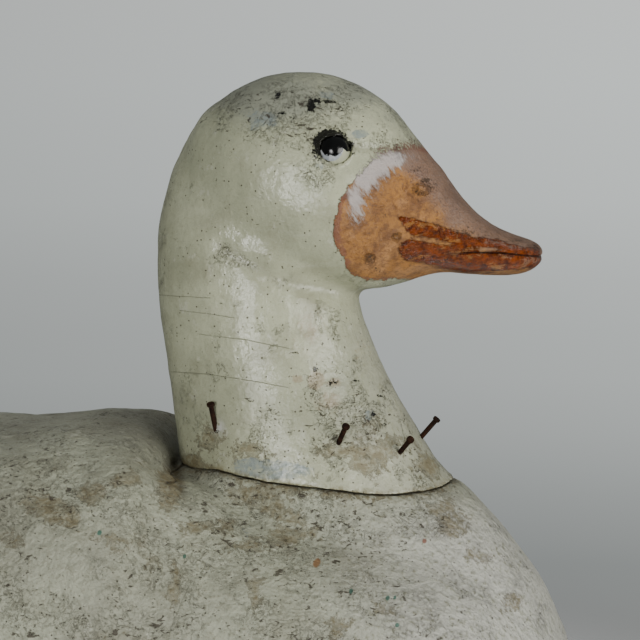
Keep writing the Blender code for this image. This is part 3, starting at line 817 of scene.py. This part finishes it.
def mark_head(mesh, co, raw_gap, eye_gap):
    """Says where the head's paint is stained, chipped, scratched, rubbed or red, and where shade and light
    are painted on.
    """
    at = side_view(co)
    near = co[:, 1] < 0
    mark(mesh, "seam", raw_gap - 0.1)
    mark(mesh, "seam_share", np.ones(len(co)))
    mark(mesh, "bill", outline_depth(at, BILL_EDGE) + 0.5 * rough(co, 0.004, 8, 2))
    ridge_gap, _ = line_distance(at, RIDGE_LINE)
    mark(mesh, "ridge", smooth_step(19, 5, ridge_gap))
    for mask in ("rub", "frost", "ring", "blue", "blush", "bald"):
        mark(mesh, mask, near_weight(at, HEAD_SPOTS[mask]))
    side, low, high = (line_distance(at, line)[0] for line in BILL_BORDERS)
    border = np.maximum(1.05 - side / 4.4, 0.85 - np.minimum(low / 1.2, high / 3.5))
    mark(mesh, "border", np.clip(border, 0, 1))
    mark(mesh, "red", red_depth(at))
    mark(mesh, "bill_dark", near_weight(at, DARK_SPOTS))
    along, level = zip(*MOUTH)
    mark(mesh, "mouth", at[:, 1] - np.interp(at[:, 0], along, level))
    mark(mesh, "mouth_share", smooth_step(58, 68, at[:, 0]))
    mark(mesh, "chip", near_weight(at, CHIPS) * np.where(near, 1.0, FAR_SIDE_CHIPS))
    mark(mesh, "stain", stains_on_neck(co, at))
    # Painted light on the front of the lower neck, with a small pale scrape.
    light_and_scrape = 0.32 * smooth_step(-15, 40, at[:, 0]) * smooth_step(268, 235, at[:, 1])
    mark(mesh, "light_and_scrape", light_and_scrape + near_weight(at, PALE_SCRAPES))
    scratch, share = signed_lines(at, SCRATCHES)
    mark(mesh, "scratch", scratch)
    mark(mesh, "scratch_share", share * near)
    worn = near_weight(at, WORN_SPOTS)
    mark(mesh, "wear", 0.15 + 0.95 * worn + 0.3 * rough(co, 0.02, 9, 2))
    # Painted shade, with some grime: in the jaw crease, round the eye, under the brow and in the joint at the
    # back of the neck, and darker towards the neck's foot.
    jaw_gap, _ = line_distance(at, JAW)
    brow_gap, brow_share = line_distance(at, BROW)
    shade_and_grime = 0.22 * ditch(jaw_gap, 3) + 0.30 * ditch(eye_gap, 8)
    shade_and_grime += 0.4 * ditch(brow_gap, 1.5) * (1 - brow_share)
    shade_and_grime += 0.35 * smooth_step(12, 0, raw_gap) * smooth_step(-40, -60, at[:, 0])
    shade_and_grime += 0.14 * smooth_step(245, 195, at[:, 1])
    mark(mesh, "shade_and_grime", shade_and_grime)


def red_depth(at):
    """Depth inside the strokes of red paint that are left, mm."""
    strokes = [
        ([(36, 296.0), (41, 293.2)], 0.9, 2.6),
        ([(42, 291.8), (50, 290.0), (60, 287.4), (66, 286)], 3.4, 2.0),
        ([(40.5, 281.4), (47, 280.4), (56, 277.6), (66, 275.6), (76, 275.4), (88, 276.4), (96, 277)],
         4.6, 3.2),
        ([(48, 283.0), (56, 281.4), (62, 279.8), (70, 279)], 1.6, 2.4),
        ([(62, 284.2), (73, 285.2), (81, 283.8), (89, 281.8)], 2.4, 1.3),
        ([(75, 277), (86, 279), (96, 280)], 3.2, 2.8),
        ([(48, 289.0), (58, 286.4)], 0.8, 0.6),
    ]
    best = np.full(len(at), -9.0)
    for line, start, end in strokes:
        gap, share = line_distance(at, line)
        best = np.maximum(best, start + (end - start) * share - gap)
    return best


DARK_SPOTS = [
    (47.5, 313, 2.6, 1.2, 0.8), (43, 317, 3, 2, 0.45), (51, 310, 3, 3, 0.45), (46, 307, 5, 3, 0.4),
    (22.3, 277.7, 2.6, 2.2, 0.55), (34.7, 287.5, 2.2, 2, 0.5), (29, 297, 1.2, 1.2, 0.6),
    (25, 273, 3, 1.6, 0.5), (97, 283, 5, 3, 0.55), (88, 286, 6, 2, 0.45), (66, 289.5, 7, 2.2, 0.5),
    (75, 288, 5, 2, 0.4),
]
FAR_SIDE_CHIPS = 0.75  # the left side's share of the chips
CHIPS = [
    (-4, 346.5, 2.2, 3.4, 1.0), (-1, 348.5, 3.0, 1.6, 0.9), (4, 348.2, 4.5, 1.2, 0.8),
    (-17, 343, 3.5, 1.2, 0.66), (-12, 341, 3, 1.2, 0.6), (-19, 352, 2, 2.4, 0.75), (1, 338, 3, 1, 0.5),
    (4.4, 329.2, 5.0, 4.5, 3.2), (-1.5, 327, 2.3, 5.0, 1.0), (6.5, 333.8, 5, 1.8, 1.0),
    (11, 332.4, 2, 1.6, 0.8), (13.8, 328.4, 1.7, 2.6, 0.9), (15, 325, 1.5, 1.2, 0.55),
    (24, 207.5, 1.6, 1.1, 0.8), (6.5, 222, 2.4, 1.5, 0.66), (-47, 200, 2, 2.6, 0.45),
    (-2.3, 227.7, 1.1, 1.1, 0.95), (29, 203, 2.2, 1, 0.6), (-5.4, 231.3, 1.2, 0.7, 0.9),
    (-12, 235, 2.4, 0.9, 0.62), (16.5, 222.8, 2.6, 0.7, 0.75), (27.5, 216, 1.8, 0.8, 0.75),
]
NECK_STAINS = [
    (-1.5, 225, 8, 3, 0.45), (24, 206, 4, 5, 0.5), (16, 190.5, 16, 2.4, 0.62), (19, 184, 8, 3.5, 0.5),
    (-30, 192, 8, 4, 0.45), (-50, 196, 5, 7, 0.35), (-12, 232, 5, 6, 0.25), (-58, 186, 5, 3, 0.6),
    (33, 196, 5, 4, 0.4), (48, 184, 6, 4, 0.45),
]


def stains_on_neck(co, at):
    low = 0.30 * smooth_step(228, 185, at[:, 1])
    return near_weight(at, NECK_STAINS) + 0.10 * rough(co, 0.016, 11, 3) + low - 0.12


# ---------------- body


# The crease between the neck's seat and the hump behind it.
FOOT_CREASE = [(-65.5, 186), (-63.5, 178), (-61, 170), (-58, 164)]
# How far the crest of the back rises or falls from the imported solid's, mm.
BACK_RISE = [
    (-225, 0), (-145, -3.6), (-125, -1.6), (-104, 0.6), (-86, 0.0), (-76, -1.4), (-68, -3.4), (-60, 0),
]
BODY_GRAIN = 0.0023
BODY_STAINS = [
    (-103, 172, 6, 4, 0.85), (-86, 178, 6, 3, 0.75), (-120, 165, 8, 5, 0.80), (-113, 162, 4, 5, 0.75),
    (-68, 174, 5, 10, 0.85), (-37, 172, 9, 6, 0.62), (-22, 167, 5, 5, 0.72), (-50, 158, 14, 3, 0.55),
    (-6, 155, 16, 5, 0.62), (-12, 160, 6, 5, 0.66), (-29, 125, 4, 9, 0.66), (62, 158, 10, 6, 0.66),
    (56, 166, 8, 4, 0.60), (87, 123.5, 5, 4, 0.72), (-18, 175, 12, 4, 0.55), (10, 172, 20, 4, 0.40),
    (-140, 150, 10, 5, 0.45), (-95, 148, 12, 6, 0.42), (-66, 128, 3, 14, 0.55), (70, 145, 8, 5, 0.45),
    (-76, 140, 5, 5, 0.45), (-35, 148, 12, 4, 0.48), (30, 118, 8, 6, 0.42), (8, 112, 6, 8, 0.45),
]
BODY_SPOTS = {
    "blue": [(-8, 178, 14, 2.5, 0.5), (-33, 155, 6, 6, 0.45), (20, 140, 12, 6, 0.3)],
    "bald": [(-110, 200, 45, 12, 0.25)],
    "chip": [
        (-101, 206, 3, 1.5, 0.5), (-80, 207, 8, 2, 0.6), (55, 160, 2, 3, 0.5), (-88, 176, 2, 1, 0.55),
        (-118, 180, 2, 1.5, 0.5),
    ],
}


def make_body():
    obj = fine_copy("upper_body", "upper_carving", BODY_GRAIN)
    mesh = obj.data
    co, edges = read_points(mesh), read_edges(mesh)
    gap = seat_gap(co)
    x_rel, y_out = (co[:, 0] - NECK_X) / MM, np.abs(co[:, 1]) / MM
    on_stub = (x_rel > -66) & (x_rel < 70) & (y_out < 56) & (gap > -12)
    high = smooth_step(0.081, 0.090, co[:, 2])
    leaf_zone = (np.abs(co[:, 0] + 0.03) < 0.09) & (y_out > 80)
    free = high * np.where(on_stub, smooth_step(-1.0, -12.0, gap), 1.0) * np.where(leaf_zone, 0.05, 1.0)
    co = relax(co, edges, 16, free)
    write_points(mesh, co)
    normals = read_normals(mesh)
    rough_low = rough(co, 0.045, 21, 2) * 1.0 + rough(co, 0.014, 22, 2) * 0.30
    at = side_view(co)
    crease, along = line_distance(at, FOOT_CREASE)
    cut = 1.5 * ditch(crease, 2.6) * smooth_step(1.0, 0.7, along) + 0.5 * spot(at, -70, 178, 6, 12)
    co = press(co, normals, rough_low * free + cut * smooth_step(2, 14, y_out))
    along, rise = zip(*BACK_RISE)
    co[:, 2] += np.interp(x_rel, along, rise) * smooth_step(75, 40, y_out) * high * MM
    co = stray_joint(co)
    write_points(mesh, co)
    mark_body(mesh, co, gap, smooth_step(-68, -64, x_rel) * smooth_step(60, 56, y_out))
    give(obj, BODY_PAINT)
    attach(obj, "decoy_body")
    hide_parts("upper_body")


def mark_body(mesh, co, gap, near_neck):
    """Says where the body's paint is stained, chipped or cracked, and where shade, with some grime, and light
    are painted on.
    """
    at = side_view(co)
    x, z = at[:, 0], at[:, 1]
    mark(mesh, "seam", gap + 0.1)
    mark(mesh, "seam_share", near_neck * smooth_step(-10, -6, gap))
    crease, _ = line_distance(at, FOOT_CREASE)
    # Painted shade, with some grime: in the hollow behind the neck and the crease at its foot, on the top of
    # the back, and darker low on the flank towards the tail.
    foot = ditch(crease, 2.0) + 0.55 * spot(at, -67, 176, 5, 9)
    shade_and_grime = 0.42 * spot(at, -70, 196, 26, 20) + 0.60 * foot * (0.7 + 0.6 * rough(co, 0.006, 23, 2))
    shade_and_grime += 0.12 * smooth_step(185, 205, z) * smooth_step(-150, -70, x)
    shade_and_grime += 0.07 * smooth_step(-50, -110, x) * smooth_step(195, 175, z)
    mark(mesh, "shade_and_grime", np.clip(shade_and_grime, 0, 1))
    mark(mesh, "stain", near_weight(at, BODY_STAINS) + 0.02 + 0.15 * rough(co, 0.030, 24, 3))
    for mask, spots in BODY_SPOTS.items():
        mark(mesh, mask, near_weight(at, spots))
    # Painted light: whiter towards the chest and lower down.
    mark(mesh, "light_and_scrape", smooth_step(-20, 80, x) * smooth_step(182, 150, z))
    scratch, share = signed_lines(at, BODY_CRACKS)
    mark(mesh, "scratch", scratch)
    mark(mesh, "scratch_share", share)
    mark(mesh, "wear", 0.55 + 0.55 * rough(co, 0.035, 25, 2) - 0.45 * smooth_step(20, 75, x))


# Round places on the bead: middle on the side view and radius, mm.
TORN_PAINT, TORN_CORNER, LID_OPENING = (5.3, 330.2, 6.2), (13.0, 329.0, 3.0), (4.9, 327.0, 5.5)


def within(at, x, z, radius):
    """Distance inside a round place, mm."""
    return radius - np.hypot(at[:, 0] - x, at[:, 1] - z)


def make_eye(node):
    """A bead, its white paint torn away over the black."""
    low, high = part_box(node)
    work = bmesh.new()
    bmesh.ops.create_icosphere(work, subdivisions=5, radius=(high.x - low.x) / 2)
    bmesh.ops.translate(work, verts=work.verts, vec=(low + high) / 2)
    mesh = bpy.data.meshes.new(node + "_bead")
    work.to_mesh(mesh)
    work.free()
    mesh.shade_smooth()
    obj = bpy.data.objects.new(node + "_bead", mesh)
    bpy.context.scene.collection.objects.link(obj)
    at = side_view(read_points(mesh))
    torn = within(at, *TORN_PAINT) / 2.0
    corner = within(at, *TORN_CORNER) / 1.2
    mark(mesh, "bare", np.maximum(torn, corner) + 0.45)
    mark(mesh, "lid", 0.5 - within(at, *LID_OPENING) / 0.9)
    give(obj, BEAD)
    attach(obj, "decoy_body")
    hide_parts(node)


# ---------------- wings


WING_GRAIN = 0.0014
ROW_PITCH = 17.0  # scallop rows, front to back, mm
ROWS = 4
FEATHER_WIDTH = 15.0
FLIGHT_WIDTH = 9.5  # long feathers, where they start
GROOVE = 0.8  # depth of the cuts, mm
CUT_WIDTH, SHAFT_WIDTH = 0.9, 0.5


def make_wing(node, body):
    """A wing board with its feathers cut in: rows of scallops in front, long flight feathers behind."""
    obj = fine_copy(node, node + "_carving", WING_GRAIN)
    mesh = obj.data
    co, edges = read_points(mesh), read_edges(mesh)
    _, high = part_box(node)
    normals = read_normals(mesh)
    face = smooth_step(0.75, 0.92, np.abs(normals[:, 1]))
    back = (high.x - co[:, 0]) / MM
    down = (high.z - co[:, 2]) / MM
    keep = smooth_step(17, 22, down)
    # Scallops: round feather tips in rows, each row shifted by half a feather.
    row = np.floor(back / ROW_PITCH)
    across = down / FEATHER_WIDTH + 0.5 * (row % 2)
    swell = 1 - (2 * (across - np.floor(across)) - 1) ** 2
    edge = back - (row + 0.45 + 0.5 * swell) * ROW_PITCH
    scallop = ditch(edge, CUT_WIDTH) + 0.45 * smooth_step(0, -7, edge) * (edge < 0)
    # Flight feathers: long laps that fan out towards the tip.
    start = ROW_PITCH * ROWS
    fan = (down - 8 - 0.16 * (back - start)) / (FLIGHT_WIDTH - 0.018 * (back - start))
    lap = fan - np.floor(fan)
    flight = ditch(np.minimum(lap, 1 - lap) * FLIGHT_WIDTH, CUT_WIDTH) + 0.55 * (1 - lap)
    shaft = ditch((lap - 0.42) * FLIGHT_WIDTH, SHAFT_WIDTH) * 0.35
    long = smooth_step(start - 2, start + 4, back)
    groove = np.where(long > 0.5, flight + shaft, scallop) * face * keep
    groove = relax(groove[:, None].repeat(3, 1), edges, 1)[:, 0]
    co = press(co, normals, GROOVE * groove + 0.22 * rough(co, 0.02, 31, 2) * face)
    write_points(mesh, co)
    # Painted shade, with some grime, in the cut grooves.
    mark(mesh, "shade_and_grime", np.clip(0.62 * groove - 0.12, 0, 0.7))
    mark(mesh, "wear", 0.35 + 0.5 * rough(co, 0.03, 32, 2))
    mark(mesh, "stain", 0.10 + 0.22 * rough(co, 0.028, 33, 3))
    rim = smooth_step(0.75, 0.35, np.abs(normals[:, 1]))
    mark(mesh, "bald", 0.5 * rim * smooth_step(17, 25, down))
    give(obj, WING_PAINT)
    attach(obj, body)
    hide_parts(node)


make_head()
make_body()
make_wing("wing_right", "right_wing")
make_wing("wing_left", "left_wing")
make_eye("eye_right")
make_eye("eye_left")

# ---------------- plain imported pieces

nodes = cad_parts
for name, node in nodes.items():
    if name.startswith(("neck_nail", "base_screw")):
        give(node, NAIL_RUST)
    elif name.startswith(("hinge", "horn", "line_bush")):
        give(node, IRON)
    elif name == "base_board":
        give(node, BOARD)
    elif name == "neck_dowel":
        give(node, PEG)
    elif name == "lower_body":
        give(node, BODY_PAINT)
    node.data.shade_smooth()
    node.data.set_sharp_from_angle(angle=math.radians(35))


# ---------------- stage

FLOOR_Z = -0.0005
FLOOR_SIDES = 96
FLOOR_SOLID = 0.38  # the floor fades out from here
FLOOR_REACH = 0.62
FLOOR_TONES = (0.72, 0.73, 0.725), (0.76, 0.77, 0.765)
WALL_FILL = 0.18  # how much of the wall's brightness falls on the decoy
WALL_HEIGHTS = (-0.24, 0.05)
WALL_SIDES = (-0.28, 0.02)
WALL_GAIN = (0.92, 1.24)
WALL_LOW = (0.205, 0.212, 0.208, 1.0)
WALL_HIGH = (0.60, 0.625, 0.615, 1.0)
# Share of the way from low to high, and the tone there.
WALL_TONES = [
    (0.10, 0.222), (0.20, 0.284), (0.30, 0.358), (0.38, 0.402), (0.45, 0.420), (0.53, 0.452), (0.65, 0.53),
    (0.83, 0.58),
]
WALL_GREEN, WALL_BLUE = 1.06, 1.045
WARM, PLAIN = (1.0, 0.99, 0.95), (1.0, 1.0, 0.99)


def area_light(name, place, target, power, size, colour):
    lamp = bpy.data.lights.new(name, "AREA")
    lamp.energy = power
    lamp.shape = "RECTANGLE"
    lamp.size, lamp.size_y = size
    lamp.color = colour
    obj = bpy.data.objects.new(name, lamp)
    obj.location = place
    obj.rotation_mode = "QUATERNION"
    obj.rotation_quaternion = (Vector(target) - Vector(place)).to_track_quat("-Z", "Y")
    bpy.context.scene.collection.objects.link(obj)
    return obj


def at_view(right, up, toward):
    """A place met from the viewpoint: metres right of, above and in front of the aim."""
    side = Vector((math.cos(VIEW_AZ), math.sin(VIEW_AZ), 0.0))
    level = Vector((BACK.x, BACK.y, 0.0)).normalized()
    return AIM + side * right + Vector((0, 0, up)) + level * toward


def make_floor():
    mesh = bpy.data.meshes.new("floor")
    turns = [2 * math.pi * k / FLOOR_SIDES for k in range(FLOOR_SIDES)]
    ring = [(FLOOR_REACH * math.cos(turn), FLOOR_REACH * math.sin(turn), FLOOR_Z) for turn in turns]
    mesh.from_pydata(ring, [], [tuple(range(FLOOR_SIDES))])
    floor = bpy.data.objects.new("floor", mesh)
    bpy.context.scene.collection.objects.link(floor)
    m = Nodes("floor_look")
    tone = m.mix(m.noise(3, 3, 0.5), *FLOOR_TONES)
    solid = m.rest(m.step(m.vector("LENGTH", m.place), FLOOR_SOLID, FLOOR_REACH))
    m.link(solid, m.shader.inputs["Alpha"])
    give(floor, m.finish(tone, 0.8, m.bump(m.noise(200, 3, 0.6), 0.05, 0.001)))


def world_range(tree, source, span, gives=(0.0, 1.0)):
    """A value from one span carried over to another."""
    node = tree.nodes.new("ShaderNodeMapRange")
    for socket, value in zip(("From Min", "From Max", "To Min", "To Max"), (*span, *gives)):
        node.inputs[socket].default_value = value
    tree.links.new(source, node.inputs["Value"])
    return node.outputs["Result"]


def make_room():
    """A plain wall, lighter upwards and to the right, that lights the decoy only faintly."""
    world = bpy.data.worlds.new("room")
    bpy.context.scene.world = world
    world.use_nodes = True
    tree = world.node_tree
    place = tree.nodes.new("ShaderNodeTexCoord")
    split = tree.nodes.new("ShaderNodeSeparateXYZ")
    tree.links.new(place.outputs["Generated"], split.inputs[0])
    ramp = tree.nodes.new("ShaderNodeValToRGB")
    ramp.color_ramp.elements[0].color = WALL_LOW
    ramp.color_ramp.elements[1].color = WALL_HIGH
    for at, tone in WALL_TONES:
        stop = ramp.color_ramp.elements.new(at)
        stop.color = (tone, tone * WALL_GREEN, tone * WALL_BLUE, 1.0)
    tree.links.new(world_range(tree, split.outputs["Z"], WALL_HEIGHTS), ramp.inputs["Fac"])
    shade = tree.nodes["Background"]
    tree.links.new(ramp.outputs["Color"], shade.inputs["Color"])
    path = tree.nodes.new("ShaderNodeLightPath")
    dim = tree.nodes.new("ShaderNodeMath")
    dim.operation = "MULTIPLY"
    tree.links.new(world_range(tree, split.outputs["X"], WALL_SIDES, WALL_GAIN), dim.inputs[0])
    seen = world_range(tree, path.outputs["Is Camera Ray"], (0.0, 1.0), (WALL_FILL, 1.0))
    tree.links.new(seen, dim.inputs[1])
    tree.links.new(dim.outputs[0], shade.inputs["Strength"])


def make_lamps():
    area_light("window_right", at_view(1.05, 0.10, 0.90), AIM, 16.5, (0.9, 0.8), WARM)
    area_light("window_left", at_view(-0.40, 0.02, 1.27), AIM, 8.0, (0.30, 0.42), PLAIN)
    behind = area_light("room_behind", at_view(-0.25, 0.25, -1.5), (0.0, 0.0, 0.15), 9, (1.3, 1.0), PLAIN)
    behind.visible_glossy = False
    ceiling = area_light("ceiling", (-0.30, 0.05, 1.45), (-0.18, 0.0, 0.10), 4.5, (1.5, 1.5), PLAIN)
    ceiling.visible_glossy = False


make_floor()
make_room()
make_lamps()

SENSOR_WIDTH = 36.0  # mm
camera_data = bpy.data.cameras.new("camera")
camera_data.sensor_width = SENSOR_WIDTH
camera_data.lens = SENSOR_WIDTH * VIEW_DISTANCE / FRAME_WIDTH
camera_data.clip_start = 0.01
camera_data.clip_end = 20.0
camera = bpy.data.objects.new("camera", camera_data)
camera.location = EYE_POINT
camera.rotation_mode = "QUATERNION"
camera.rotation_quaternion = (-BACK).to_track_quat("-Z", "Y")
bpy.context.scene.collection.objects.link(camera)
bpy.context.scene.camera = camera
